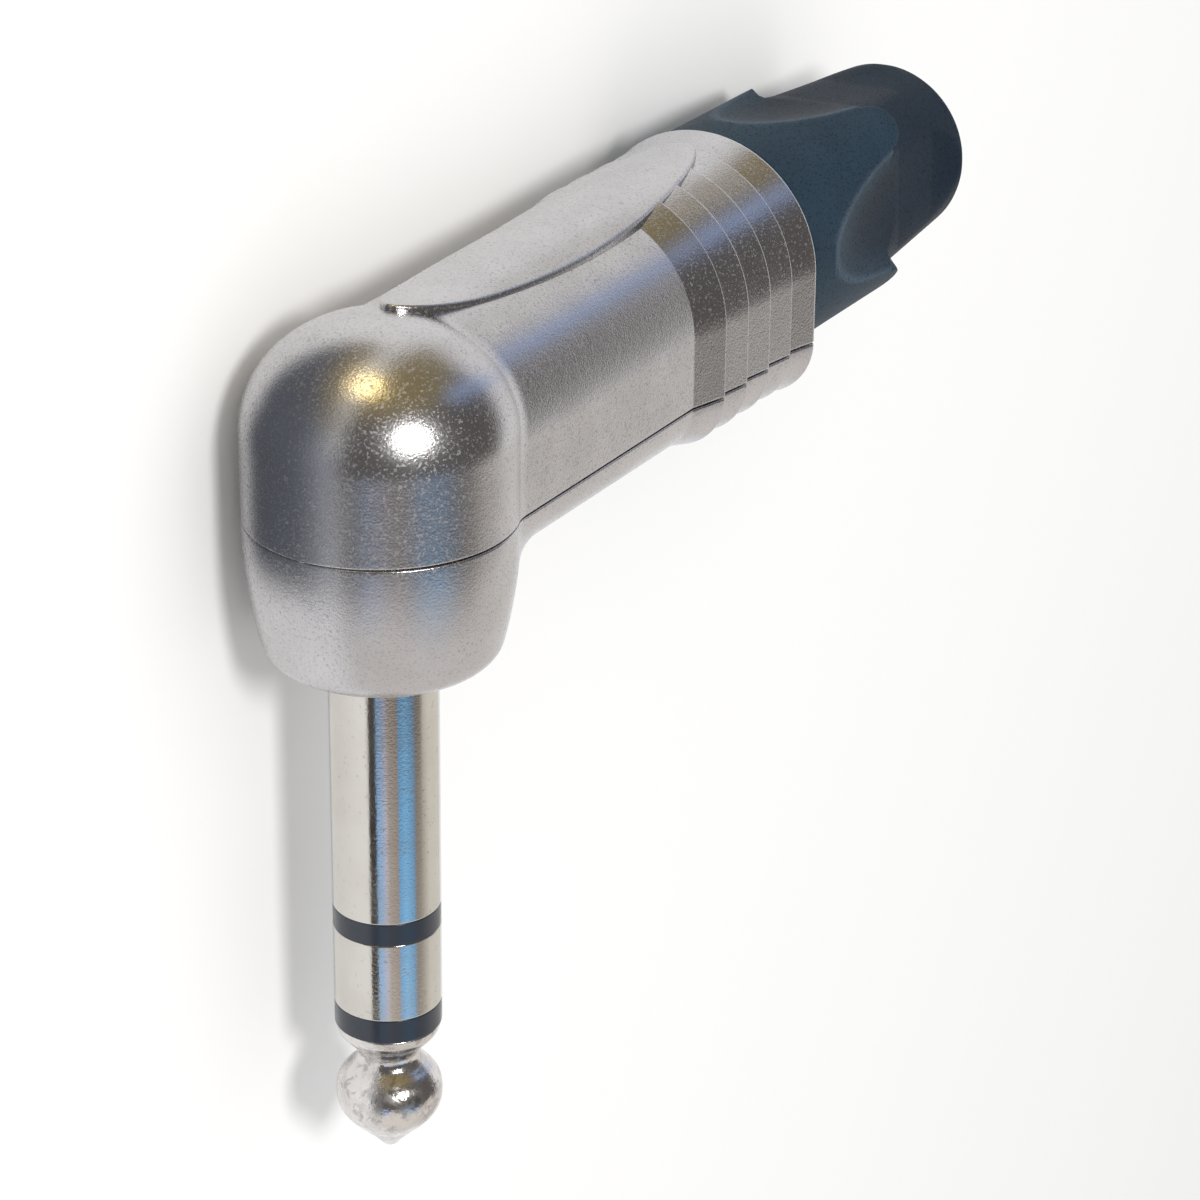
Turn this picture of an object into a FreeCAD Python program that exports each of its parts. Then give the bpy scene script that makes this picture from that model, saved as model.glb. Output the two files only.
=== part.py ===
import FreeCAD, Part
import Sketcher
import math
import os

# Right-angle 6.35 mm stereo jack plug with a two-part die-cast housing, a
# turned three-contact finger, a cable chuck and a screwed-on soft boot.
# The origin is on the finger's axis, at the shoulder where the finger leaves
# the housing. The finger points along -Y, the barrel and its cable along +X,
# and the plug lies on its side, with +Z up.

doc = FreeCAD.newDocument("jack_plug")

# Driving sizes in millimetres
SIZES = {
    # Contact finger, turned to the 6.35 mm standard
    "finger_radius": 3.175,
    "sleeve_length": 15.7,
    "first_band": 1.4,
    "ring_length": 5.0,
    "second_band": 1.5,
    "tip_collar_radius": 3.0,
    "tip_collar_land": 0.5,
    "tip_collar_round": 2.0,
    "tip_collar_foot": 2.3,
    "tip_collar_drop": 1.4,
    "tip_neck_radius": 1.88,
    "tip_neck_drop": 0.48,
    "tip_bulb_round": 2.7,
    "tip_bulb_drop": 4.13,
    "tip_cone_radius": 2.43,
    "tip_cone_drop": 2.1,
    "tip_point_radius": 0.38,
    "tip_point_drop": 0.16,
    "sleeve_bore": 2.45,
    "ring_tube_radius": 2.05,
    "ring_tube_bore": 1.57,
    "rod_radius": 1.15,
    "seat_gap": 0.02,
    "flange_room": 0.7,
    "sleeve_flange": 0.8,
    "sleeve_spigot": 0.8,
    "sleeve_seat_radius": 3.6,
    # Elbow of the housing
    "elbow_step": 0.75,
    "seam_height": 8.65,
    "cup_base_radius": 6.53,
    "cup_flank_round": 27.0,
    "cup_corner": 1.3,
    "cup_fillet": 2.4,
    "dome_base": 13.75,
    "dome_height": 6.7,
    "dome_crown_rise": 0.7,
    "dome_fillet": 2.6,
    "elbow_wall": 1.4,
    "cup_floor": 2.2,
    "well_wall": 2.2,
    "well_top": 5.4,
    "well_slope": 1.0,
    # Barrel of the housing
    "axis_height": 13.0,
    "barrel_radius": 7.05,
    "tray_depth": 3.0,
    "rib_start": 22.8,
    "rib_pitch": 2.76,
    "rib_foot": 0.3,
    "rib_height": 0.72,
    "rim_height": 0.97,
    "barrel_wall": 1.45,
    "nut_wall": 0.85,
    "nut_seat": 28.2,
    "oval_start": 0.9,
    "oval_length": 33.2,
    "oval_width": 6.9,
    "oval_front_rise": 0.33,
    "oval_rear_rise": 0.93,
    "rail_start": 10.0,
    "rail_length": 17.0,
    "rail_inset": 1.35,
    "rail_width": 1.1,
    "rail_height": 1.2,
    "rail_gap": 0.08,
    # Contact stack inside the elbow
    "tag_thickness": 0.4,
    "tag_width": 1.8,
    "tag_spacing": 2.6,
    "tag_setback": 1.8,
    "tag_reach": 10.4,
    "wire_hole": 0.55,
    "wire_hole_inset": 1.2,
    "sleeve_tag_inset": 0.1,
    "ring_tag_radius": 3.5,
    "tip_tag_radius": 2.7,
    "outer_lug_height": 9.4,
    "inner_lug_height": 11.0,
    "holder_height": 1.8,
    "holder_step": 0.9,
    "holder_gap": 0.1,
    "slot_gap": 0.2,
    "washer_height": 1.0,
    "washer_radius": 3.7,
    "ring_peen": 0.4,
    "rivet_radius": 1.9,
    "rivet_height": 0.6,
    "liner_wall": 0.5,
    "liner_foot": 0.5,
    "liner_gap": 0.1,
    "liner_window": 10.6,
    # Cable chuck
    "chuck_start": 15.0,
    "chuck_flange": 2.0,
    "chuck_room": 0.7,
    "chuck_bore": 3.4,
    "chuck_length": 19.0,
    "jaw_start": 12.5,
    "jaw_end_radius": 4.25,
    "chuck_slot": 0.8,
    "chuck_slot_start": 6.0,
    "tooth_inset": 1.0,
    "tooth_depth": 0.3,
    "tooth_pitch": 1.2,
    "key_width": 1.6,
    "key_height": 0.6,
    "key_gap": 0.1,
    "slide_gap": 0.05,
    # Gland nut
    "nut_gap": 0.3,
    "thread_gap": 0.05,
    "jaw_gap": 0.06,
    "jaw_room": 0.6,
    "neck_relief": 0.35,
    "collar_cover": 1.1,
    "collar_length": 2.1,
    "skirt_radius": 4.7,
    "skirt_length": 9.0,
    "skirt_bore": 3.9,
    "groove_depth": 0.4,
    "groove_width": 1.2,
    # Boot
    "boot_gap": 0.3,
    "boot_step": 0.32,
    "boot_length": 25.0,
    "petal_length": 15.8,
    "tail_radius": 5.85,
    "tail_taper": 0.75,
    "tail_round": 0.7,
    "cable_radius": 3.6,
    "boot_turn": -2.0,
    "scoop_sweep": 66.0,
    "scoop_round": 12.0,
    "scoop_floor": 5.6,
    "scoop_centre": 19.4,
}
RIBS = 5
SCOOPS = 4
TEETH = 4
SKIRT_GROOVES = 2

sheet = doc.addObject("Spreadsheet::Sheet", "sizes")
for row, (alias, number) in enumerate(SIZES.items(), start=1):
    sheet.set(f"A{row}", alias)
    sheet.set(f"B{row}", str(number))
    sheet.setAlias(f"B{row}", alias)
doc.recompute()


class Size:
    """A number together with the formula that ties it to the sheet."""

    def __init__(self, value, text):
        self.value = value
        self.text = text

    def join(self, other, sign, value):
        return Size(value, f"({self.text} {sign} {as_size(other).text})")

    def __add__(self, other):
        return self.join(other, "+", self.value + as_size(other).value)

    def __sub__(self, other):
        return self.join(other, "-", self.value - as_size(other).value)

    def __mul__(self, other):
        return self.join(other, "*", self.value * as_size(other).value)

    def __truediv__(self, other):
        return self.join(other, "/", self.value / as_size(other).value)

    def __rsub__(self, other):
        return as_size(other) - self

    def __neg__(self):
        return 0 - self


def as_size(number):
    """Wrap a plain number, so that it can stand beside a Size."""
    return number if isinstance(number, Size) else Size(number, str(number))


def size(alias):
    """The driving size of that name."""
    return Size(SIZES[alias], f"sizes.{alias}")


def bind(thing, prop, number):
    """Set a numeric property from a Size and tie it to the sheet."""
    number = as_size(number)
    if "." not in prop:
        setattr(thing, prop, number.value)
    thing.setExpression(prop, number.text)


def body(label, height=None, turn=None):
    """A new body, its origin raised along Y and turned about X if asked."""
    new = doc.addObject("PartDesign::Body", label)
    new.Label = label
    if height is not None:
        angle = turn.value if turn is not None else 0
        new.Placement = FreeCAD.Placement(
            FreeCAD.Vector(0, height.value, 0), FreeCAD.Rotation(FreeCAD.Vector(1, 0, 0), angle)
        )
        new.setExpression("Placement.Base.y", height.text)
    if turn is not None:
        new.setExpression("Placement.Rotation.Angle", turn.text)
    return new


def sketch(owner, name, plane, offset=None):
    """A sketch on one of the body's origin planes, moved along its normal."""
    new = owner.newObject("Sketcher::SketchObject", name)
    support = next(f for f in owner.Origin.OriginFeatures if f.Role == plane)
    new.AttachmentSupport = [(support, "")]
    new.MapMode = "FlatFace"
    if offset is not None:
        offset = as_size(offset)
        new.AttachmentOffset = FreeCAD.Placement(FreeCAD.Vector(0, 0, offset.value), FreeCAD.Rotation())
        new.setExpression("AttachmentOffset.Base.z", offset.text)
    return new


def dimension(flat, kind, value, *where):
    """Add one dimension to a sketch and tie it to the sheet."""
    value = as_size(value)
    index = flat.addConstraint(Sketcher.Constraint(kind, *where, value.value))
    flat.setExpression(f"Constraints[{index}]", value.text)


def pin_point(flat, edge, end, point):
    """Fix an edge's end at a point (x, y) measured from the sketch's origin."""
    for kind, number, axis in (("DistanceX", point[0], -2), ("DistanceY", point[1], -1)):
        if not isinstance(number, Size) and number == 0:
            flat.addConstraint(Sketcher.Constraint("PointOnObject", edge, end, axis))
        else:
            dimension(flat, kind, number, -1, 1, edge, end)


def corner_vector(point):
    return FreeCAD.Vector(as_size(point[0]).value, as_size(point[1]).value, 0)


def outline(flat, corners):
    """Draw a closed outline through corners (x, y).

    A corner (x, y, radius) starts an arc to the next corner. A positive
    radius turns left, a negative one right.
    """
    ends = []
    for number, corner in enumerate(corners):
        start = corner_vector(corner)
        finish = corner_vector(corners[(number + 1) % len(corners)])
        if len(corner) == 2:
            edge = flat.addGeometry(Part.LineSegment(start, finish), False)
            ends.append((edge, 1, 2))
        else:
            ends.append(arc_edge(flat, start, finish, corner[2]))
    for number, (edge, _, last) in enumerate(ends):
        following, first, _ = ends[(number + 1) % len(ends)]
        flat.addConstraint(Sketcher.Constraint("Coincident", edge, last, following, first))
    for corner, (edge, first, _) in zip(corners, ends):
        pin_point(flat, edge, first, corner)


def arc_edge(flat, start, finish, radius):
    """A circular arc shorter than a half turn, with its radius dimensioned."""
    signed = as_size(radius)
    chord = finish - start
    left = FreeCAD.Vector(-chord.y, chord.x, 0).normalize()
    reach = math.sqrt(max(signed.value ** 2 - (chord.Length / 2) ** 2, 0))
    centre = (start + finish) * 0.5 + left * math.copysign(reach, signed.value)
    circle = Part.Circle(centre, FreeCAD.Vector(0, 0, 1), abs(signed.value))
    first, last = (start, finish) if signed.value > 0 else (finish, start)
    angles = [math.atan2(p.y - centre.y, p.x - centre.x) for p in (first, last)]
    edge = flat.addGeometry(Part.ArcOfCircle(circle, *angles), False)
    dimension(flat, "Radius", signed if signed.value > 0 else -signed, edge)
    return (edge, 1, 2) if signed.value > 0 else (edge, 2, 1)


def revolve(owner, flat, axis, name="turned"):
    """Turn a sketch through a full circle about one of its own axes."""
    feature = owner.newObject("PartDesign::Revolution", name)
    feature.Profile = flat
    feature.ReferenceAxis = (flat, [axis])
    feature.Angle = 360
    return feature


def turned(label, corners, axis="V_Axis", height=None, turn=None):
    """A body turned from one outline drawn in its own XY plane."""
    new = body(label, height, turn)
    flat = sketch(new, label + "_profile", "XY_Plane")
    outline(flat, corners)
    revolve(new, flat, axis, label + "_turned")
    return new


def pad(owner, flat, length, name, reverse=False, taper=None):
    feature = owner.newObject("PartDesign::Pad", name)
    feature.Profile = flat
    bind(feature, "Length", length)
    feature.Reversed = reverse
    if taper is not None:
        bind(feature, "TaperAngle", taper)
    return feature


def upper_section(flat, grow):
    """The barrel's section above the seam, moved outwards by grow: a round
    top on two upright sides."""
    half = size("barrel_radius") + grow
    top = size("axis_height")
    seam = size("seam_height")
    outline(flat, [(top, half, -half), (top + half, 0, -half), (top, -half), (seam, -half), (seam, half)])


def lower_section(flat, grow):
    """The barrel's section below the seam, moved outwards by grow: a shallow
    tray with rounded corners."""
    half = size("barrel_radius") + grow
    depth = size("tray_depth") + grow
    seam = size("seam_height")
    floor = seam - depth
    flat_half = half - depth
    outline(flat, [(seam, half), (seam, -half, -depth), (floor, -flat_half), (floor, flat_half, -depth)])


def rectangle(flat, low, high):
    """A closed rectangle between two opposite corners."""
    outline(flat, [low, (high[0], low[1]), high, (low[0], high[1])])


def loft(owner, first, second, name):
    feature = owner.newObject("PartDesign::AdditiveLoft", name)
    feature.Profile = first
    feature.Sections = [second]
    feature.Ruled = True
    return feature


def round_edges(owner, wanted, radius, name):
    """Round the edges of the body's last feature that the test picks."""
    doc.recompute()
    last = owner.Tip
    names = [f"Edge{n}" for n, edge in enumerate(last.Shape.Edges, 1) if wanted(edge)]
    feature = owner.newObject("PartDesign::Fillet", name)
    feature.Base = (last, names)
    bind(feature, "Radius", radius)
    return feature


def along(edge, count=6):
    """Points along an edge, or none where it has shrunk to a pole."""
    if edge.Degenerated:
        return []
    step = (edge.LastParameter - edge.FirstParameter) / count
    return [edge.valueAt(edge.FirstParameter + step * number) for number in range(count + 1)]


def meets_elbow(edge):
    """Whether an edge is where the barrel runs into the elbow."""
    reach = elbow_radius.value + 0.01
    seam = size("seam_height").value
    points = along(edge)
    outside = points and all(p.x > 1 and math.hypot(p.x, p.z) < reach for p in points)
    return outside and any(abs(p.y - seam) > 0.01 for p in points)


def box(label, low, high):
    """A block between two corners, each given as Sizes."""
    block = doc.addObject("Part::Box", label)
    for side, axis, start, end in zip(("Length", "Width", "Height"), "xyz", low, high):
        bind(block, side, as_size(end) - start)
        start = as_size(start)
        place = block.Placement.Base
        setattr(place, axis, start.value)
        block.Placement = FreeCAD.Placement(place, FreeCAD.Rotation())
    for axis, start in zip("xyz", low):
        block.setExpression(f"Placement.Base.{axis}", as_size(start).text)
    return block


def fuse(label, *pieces):
    joined = doc.addObject("Part::MultiFuse", label)
    joined.Shapes = list(pieces)
    joined.Refine = True
    return joined


def cut(label, piece, tool):
    carved = doc.addObject("Part::Cut", label)
    carved.Base = piece
    carved.Tool = tool
    carved.Refine = True
    return carved


def common(label, *pieces):
    shared = doc.addObject("Part::MultiCommon", label)
    shared.Shapes = list(pieces)
    shared.Refine = True
    return shared


# Places that several pieces share
seam = size("seam_height")
axis_height = size("axis_height")
barrel_radius = size("barrel_radius")
elbow_radius = barrel_radius + size("elbow_step")
well_radius = elbow_radius - size("well_wall")
barrel_bore = barrel_radius - size("barrel_wall")
nut_bore = barrel_radius - size("nut_wall")
boot_radius = barrel_radius + size("rim_height") - size("boot_step")
flange_radius = well_radius - size("flange_room")
chuck_radius = barrel_bore - size("chuck_room")
tag_rise = well_radius - size("tag_setback")
rim = size("rib_start") + size("rib_pitch") * RIBS
nut_front = size("nut_seat") + size("nut_gap")
boot_front = rim + size("boot_gap")
chuck_end = size("chuck_start") + size("chuck_length")
shoulder_top = size("cup_floor") + size("sleeve_flange")


def dome_corners(inset):
    """The dome's half outline, moved inwards by inset: an upright side, a
    round shoulder and a flatter crown, each tangent to the next."""
    base = size("dome_base")
    height = size("dome_height")
    shoulder = height - size("dome_crown_rise")
    step = elbow_radius - shoulder
    crown = (step * step + height * height - shoulder * shoulder) / (size("dome_crown_rise") * 2)
    centre = base + height - crown
    share = (crown - inset) / (crown - shoulder)
    return [
        (inset - elbow_radius, base, inset - shoulder),
        (-step * share, centre + (base - centre) * share, inset - crown),
        (0, base + height - inset),
    ]


def rib_ring(owner, section, number, name):
    """One saw-tooth rib: the section swells towards the cable, then drops."""
    foot = size("rib_foot") if number else as_size(0)
    crest = size("rim_height") if number == RIBS - 1 else size("rib_height")
    start = size("rib_start") + size("rib_pitch") * number
    first = sketch(owner, f"{name}_foot_{number}", "YZ_Plane", start)
    section(first, foot)
    second = sketch(owner, f"{name}_crest_{number}", "YZ_Plane", start + size("rib_pitch"))
    section(second, crest)
    loft(owner, first, second, f"{name}_{number}")


# Upper half of the housing: the dome and the barrel's round top in one casting
upper = body("upper_form")
dome = sketch(upper, "dome_profile", "XY_Plane")
outline(dome, [(0, seam), (-elbow_radius, seam), *dome_corners(as_size(0))])
revolve(upper, dome, "V_Axis", "dome_turned")
upper_barrel = sketch(upper, "upper_barrel_section", "YZ_Plane")
upper_section(upper_barrel, as_size(0))
pad(upper, upper_barrel, size("rib_start"), "upper_barrel")
round_edges(upper, meets_elbow, size("dome_fillet"), "dome_root")
for number in range(RIBS):
    rib_ring(upper, upper_section, number, "upper_rib")

# Raised oval on the barrel's top, its face swelling from the dome to the rim
oval_face = turned("oval_face", [
    (size("oval_start"), barrel_bore),
    (size("oval_start"), barrel_radius + size("oval_front_rise")),
    (rim, barrel_radius + size("oval_rear_rise")),
    (rim, barrel_bore),
], "H_Axis", axis_height)
oval_prism = body("oval_prism")
oval = sketch(oval_prism, "oval_outline", "XZ_Plane", -axis_height)
half_length = size("oval_length") / 2
half_width = size("oval_width") / 2
middle = size("oval_start") + half_length
ellipse = Part.Ellipse(FreeCAD.Vector(middle.value, 0, 0), half_length.value, half_width.value)
edge = oval.addGeometry(ellipse, False)
oval.exposeInternalGeometry(edge)
oval.addConstraint(Sketcher.Constraint("Horizontal", edge + 1))
pin_point(oval, edge, 3, (middle, 0))
dimension(oval, "Distance", size("oval_length"), edge + 1)
dimension(oval, "Distance", size("oval_width"), edge + 2)
pad(oval_prism, oval, size("barrel_radius") * 2, "oval_extent", reverse=True)
raised_oval = common("raised_oval", oval_face, oval_prism)

# Lower half: the cup that holds the finger and the barrel's tray
lower = body("lower_form")
cup = sketch(lower, "cup_profile", "XY_Plane")
outline(cup, [
    (0, 0),
    (-size("cup_base_radius"), 0, -size("cup_flank_round")),
    (-elbow_radius, seam),
    (0, seam),
])
revolve(lower, cup, "V_Axis", "cup_turned")
tray = sketch(lower, "tray_section", "YZ_Plane")
lower_section(tray, as_size(0))
pad(lower, tray, size("rib_start"), "lower_barrel")
round_edges(lower, meets_elbow, size("cup_fillet"), "tray_root")
round_edges(lower, lambda edge: all(abs(p.y) < 0.01 for p in along(edge)) and along(edge),
            size("cup_corner"), "cup_corner")
for number in range(RIBS):
    rib_ring(lower, lower_section, number, "lower_rib")

# Hollow of the housing: the finger's hole, the well of the cup, the dome,
# the barrel's bore and the wider bore for the gland nut's thread
seat_hole = size("sleeve_seat_radius") + size("seat_gap")
wall = size("elbow_wall")
elbow_hollow = turned("elbow_hollow", [
    (0, -size("cup_floor")),
    (-seat_hole, -size("cup_floor")),
    (-seat_hole, size("cup_floor")),
    (-well_radius, size("cup_floor")),
    (-well_radius, size("well_top")),
    (wall - elbow_radius, size("well_top") + size("well_slope")),
    *dome_corners(wall),
])
barrel_hollow = turned("barrel_hollow", [
    (0, 0),
    (0, barrel_bore),
    (size("nut_seat"), barrel_bore),
    (size("nut_seat"), nut_bore),
    (rim + 1, nut_bore),
    (rim + 1, 0),
], "H_Axis", axis_height)
key_half = size("key_width") / 2 + size("key_gap")
keyway = box("keyway", (size("chuck_start") - size("chuck_flange"), axis_height, -key_half),
             (size("nut_seat"), axis_height + barrel_bore + size("key_height"), key_half))
hollow = fuse("housing_hollow", elbow_hollow, barrel_hollow, keyway)

# Two rails on the lower half stand in grooves of the upper half
rails = []
grooves = []
for side, name in ((1, "near"), (-1, "far")):
    outer = barrel_radius - size("rail_inset")
    inner = outer - size("rail_width")
    low, high = (inner, outer) if side > 0 else (-outer, -inner)
    spare = size("rail_gap")
    end = size("rail_start") + size("rail_length")
    rails.append(box(f"{name}_rail", (size("rail_start"), seam - size("rail_height"), low),
                     (end, seam + size("rail_height"), high)))
    grooves.append(box(f"{name}_groove", (size("rail_start") - spare, seam - size("rail_height"), low - spare),
                       (end + spare, seam + size("rail_height") + spare, high + spare)))

upper_outside = fuse("upper_outside", upper, raised_oval)
upper_shell = cut("upper_shell", upper_outside, fuse("upper_hollow", hollow, *grooves))
lower_outside = fuse("lower_outside", lower, *rails)
lower_shell = cut("lower_shell", lower_outside, hollow)

# Contact finger: three turned contacts, one inside the other, with moulded
# insulators between them that show as two black bands
gap = size("seat_gap")
sleeve_end = -size("sleeve_length")
ring_start = sleeve_end - size("first_band")
ring_end = ring_start - size("ring_length")
tip_start = ring_end - size("second_band")
sleeve_top = shoulder_top + size("sleeve_spigot")
sleeve_tag_top = shoulder_top + size("tag_thickness")
holder_top = sleeve_tag_top + size("holder_height")
ring_tag_top = holder_top + size("tag_thickness")
ring_top = ring_tag_top + size("ring_peen")
washer_top = ring_tag_top + size("washer_height")
tip_tag_top = washer_top + size("tag_thickness")
finger = size("finger_radius")
step_height = sleeve_top + gap
plug_sleeve = turned("plug_sleeve", [
    (size("sleeve_bore"), sleeve_end),
    (finger, sleeve_end),
    (finger, as_size(0)),
    (size("sleeve_seat_radius"), as_size(0)),
    (size("sleeve_seat_radius"), size("cup_floor")),
    (flange_radius, size("cup_floor")),
    (flange_radius, shoulder_top),
    (size("sleeve_seat_radius"), shoulder_top),
    (size("sleeve_seat_radius"), sleeve_top),
    (size("sleeve_bore"), sleeve_top),
])
sleeve_insulator = turned("sleeve_insulator", [
    (size("ring_tube_radius") + gap, ring_start),
    (finger, ring_start),
    (finger, sleeve_end),
    (size("sleeve_bore") - gap, sleeve_end),
    (size("sleeve_bore") - gap, holder_top - size("holder_step")),
    (size("ring_tube_radius") + gap, holder_top - size("holder_step")),
])
ring_contact = turned("ring_contact", [
    (size("ring_tube_bore"), ring_end),
    (finger, ring_end),
    (finger, ring_start),
    (size("ring_tube_radius"), ring_start),
    (size("ring_tube_radius"), ring_top),
    (size("ring_tube_bore"), ring_top),
])
ring_insulator = turned("ring_insulator", [
    (size("rod_radius") + gap, tip_start),
    (finger, tip_start),
    (finger, ring_end),
    (size("ring_tube_bore") - gap, ring_end),
    (size("ring_tube_bore") - gap, washer_top),
    (size("rod_radius") + gap, washer_top),
])
collar_land = tip_start - size("tip_collar_land")
collar_foot = collar_land - size("tip_collar_drop")
neck = collar_foot - size("tip_neck_drop")
bulb_foot = neck - size("tip_bulb_drop")
cone_foot = bulb_foot - size("tip_cone_drop")
tip_contact = turned("tip_contact", [
    (0, cone_foot - size("tip_point_drop")),
    (size("tip_point_radius"), cone_foot),
    (size("tip_cone_radius"), bulb_foot, size("tip_bulb_round")),
    (size("tip_neck_radius"), neck),
    (size("tip_collar_foot"), collar_foot, size("tip_collar_round")),
    (size("tip_collar_radius"), collar_land),
    (size("tip_collar_radius"), tip_start),
    (size("rod_radius"), tip_start),
    (size("rod_radius"), tip_tag_top),
    (size("rivet_radius"), tip_tag_top),
    (size("rod_radius"), tip_tag_top + size("rivet_height")),
    (0, tip_tag_top + size("rivet_height")),
])


def solder_tag(label, hole_radius, radius, top, offset, lug_height):
    """A stamped tag: a ring round the stack and a lug that rises to the barrel
    and ends in a wire eye."""
    tag = body(label)
    thickness = size("tag_thickness")
    base = top - thickness
    ring = sketch(tag, label + "_ring", "XZ_Plane", -base)
    for number in (radius, hole_radius):
        circle = ring.addGeometry(Part.Circle(FreeCAD.Vector(0, 0, 0), FreeCAD.Vector(0, 0, 1), number.value))
        ring.addConstraint(Sketcher.Constraint("Coincident", circle, 3, -1, 1))
        dimension(ring, "Radius", number, circle)
    pad(tag, ring, thickness, label + "_plate", reverse=True)
    low, high = offset - size("tag_width") / 2, offset + size("tag_width") / 2
    rise = tag_rise
    inside = hole_radius + (radius - hole_radius) / 2
    arm = sketch(tag, label + "_arm", "XZ_Plane", -base)
    rectangle(arm, (inside, low), (rise + thickness, high))
    pad(tag, arm, thickness, label + "_arm_plate", reverse=True)
    post = sketch(tag, label + "_post", "XZ_Plane", -base)
    rectangle(post, (rise, low), (rise + thickness, high))
    pad(tag, post, lug_height + thickness - base, label + "_riser", reverse=True)
    eye = sketch(tag, label + "_eye", "XZ_Plane", -lug_height)
    rectangle(eye, (rise, low), (size("tag_reach"), high))
    wire = eye.addGeometry(Part.Circle(FreeCAD.Vector(size("tag_reach").value, 0, 0), FreeCAD.Vector(0, 0, 1),
                                      size("wire_hole").value))
    pin_point(eye, wire, 3, (size("tag_reach") - size("wire_hole_inset"), offset))
    dimension(eye, "Radius", size("wire_hole"), wire)
    pad(tag, eye, thickness, label + "_lug", reverse=True)
    return tag


sleeve_tag = solder_tag("sleeve_tag", seat_hole, flange_radius - size("sleeve_tag_inset"), sleeve_tag_top,
                        -size("tag_spacing"), size("outer_lug_height"))
ring_tag = solder_tag("ring_tag", size("ring_tube_radius") + gap, size("ring_tag_radius"), ring_tag_top,
                      size("tag_spacing"), size("outer_lug_height"))
tip_tag = solder_tag("tip_tag", size("rod_radius") + gap, size("tip_tag_radius"), tip_tag_top,
                     as_size(0), size("inner_lug_height"))

# Moulded holder that fills the cup's well round the stack, with a slot for
# the sleeve tag's riser
holder_blank = turned("holder_blank", [
    (seat_hole, sleeve_tag_top),
    (well_radius - size("holder_gap"), sleeve_tag_top),
    (well_radius - size("holder_gap"), holder_top),
    (size("ring_tube_radius") + gap, holder_top),
    (size("ring_tube_radius") + gap, holder_top - size("holder_step")),
    (size("sleeve_bore"), holder_top - size("holder_step")),
    (size("sleeve_bore"), step_height),
    (seat_hole, step_height),
])
slot_low = -size("tag_spacing") - size("tag_width") / 2 - size("slot_gap")
slot_high = size("tag_width") / 2 - size("tag_spacing") + size("slot_gap")
riser_slot = box("riser_slot", (tag_rise - size("slot_gap"), shoulder_top, slot_low),
                 (well_radius + 1, holder_top + 1, slot_high))
contact_holder = cut("contact_holder", holder_blank, riser_slot)
tag_washer = turned("tag_washer", [
    (size("ring_tube_radius") + gap, ring_tag_top),
    (size("washer_radius"), ring_tag_top),
    (size("washer_radius"), washer_top),
    (size("ring_tube_bore"), washer_top),
    (size("ring_tube_bore"), ring_top + gap),
    (size("ring_tube_radius") + gap, ring_top + gap),
])

# Insulating liner under the dome, open towards the barrel
liner_outside = wall + size("liner_gap")
liner_inside = liner_outside + size("liner_wall")
liner_start = seam + size("liner_foot")
liner_outline = dome_corners(liner_outside)
liner_return = dome_corners(liner_inside)
liner_cap = turned("liner_cap", [
    (0, seam),
    (liner_outside - elbow_radius, seam),
    *liner_outline,
])
liner_core = turned("liner_core", [
    (0, seam - 1),
    (liner_inside - elbow_radius, seam - 1),
    *liner_return,
])
half_window = size("liner_window") / 2
liner_opening = box("liner_opening", (size("ring_tube_bore"), seam - 1, -half_window),
                    (elbow_radius, axis_height + barrel_bore, half_window))
liner_trim = box("liner_trim", (-elbow_radius, seam - 1, -elbow_radius),
                 (elbow_radius, liner_start, elbow_radius))
liner_hollow = fuse("liner_hollow", liner_core, liner_opening, liner_trim)
insulating_liner = cut("insulating_liner", liner_cap, liner_hollow)

# Cable chuck: a keyed flange, a slotted tube and jaws that taper to a cone
chuck_start = size("chuck_start")
chuck_flange = barrel_bore - size("slide_gap")
jaw_start = chuck_start + size("jaw_start")
teeth = []
for number in range(TEETH):
    heel = chuck_end - size("tooth_inset") - size("tooth_pitch") * number
    teeth += [
        (heel, size("chuck_bore")),
        (heel - size("tooth_pitch") / 2, size("chuck_bore") - size("tooth_depth")),
    ]
teeth.append((chuck_end - size("tooth_inset") - size("tooth_pitch") * TEETH, size("chuck_bore")))
cable_chuck = turned("cable_chuck", [
    (chuck_start, size("chuck_bore")),
    (chuck_start, chuck_flange),
    (chuck_start + size("chuck_flange"), chuck_flange),
    (chuck_start + size("chuck_flange"), chuck_radius),
    (jaw_start, chuck_radius),
    (chuck_end, size("jaw_end_radius")),
    (chuck_end, size("chuck_bore")),
    *teeth,
], "H_Axis", axis_height)
key = sketch(cable_chuck, "key_outline", "YZ_Plane", chuck_start)
rectangle(key, (chuck_radius, -size("key_width") / 2),
          (barrel_bore + size("key_height") - size("key_gap"), size("key_width") / 2))
pad(cable_chuck, key, size("chuck_flange"), "key")
slot = sketch(cable_chuck, "slot_outline", "XZ_Plane")
rectangle(slot, (chuck_start + size("chuck_slot_start"), -size("chuck_slot") / 2),
          (chuck_end + 1, size("chuck_slot") / 2))
slot_cut = cable_chuck.newObject("PartDesign::Pocket", "slot")
slot_cut.Profile = slot
slot_cut.Midplane = True
bind(slot_cut, "Length", chuck_radius * 3)
doc.recompute()
slots = cable_chuck.newObject("PartDesign::PolarPattern", "slots")
slots.Originals = [slot_cut]
slots.Axis = (next(f for f in cable_chuck.Origin.OriginFeatures if f.Role == "X_Axis"), [""])
slots.Angle = 90
slots.Occurrences = 2
cable_chuck.Tip = slots

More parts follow.
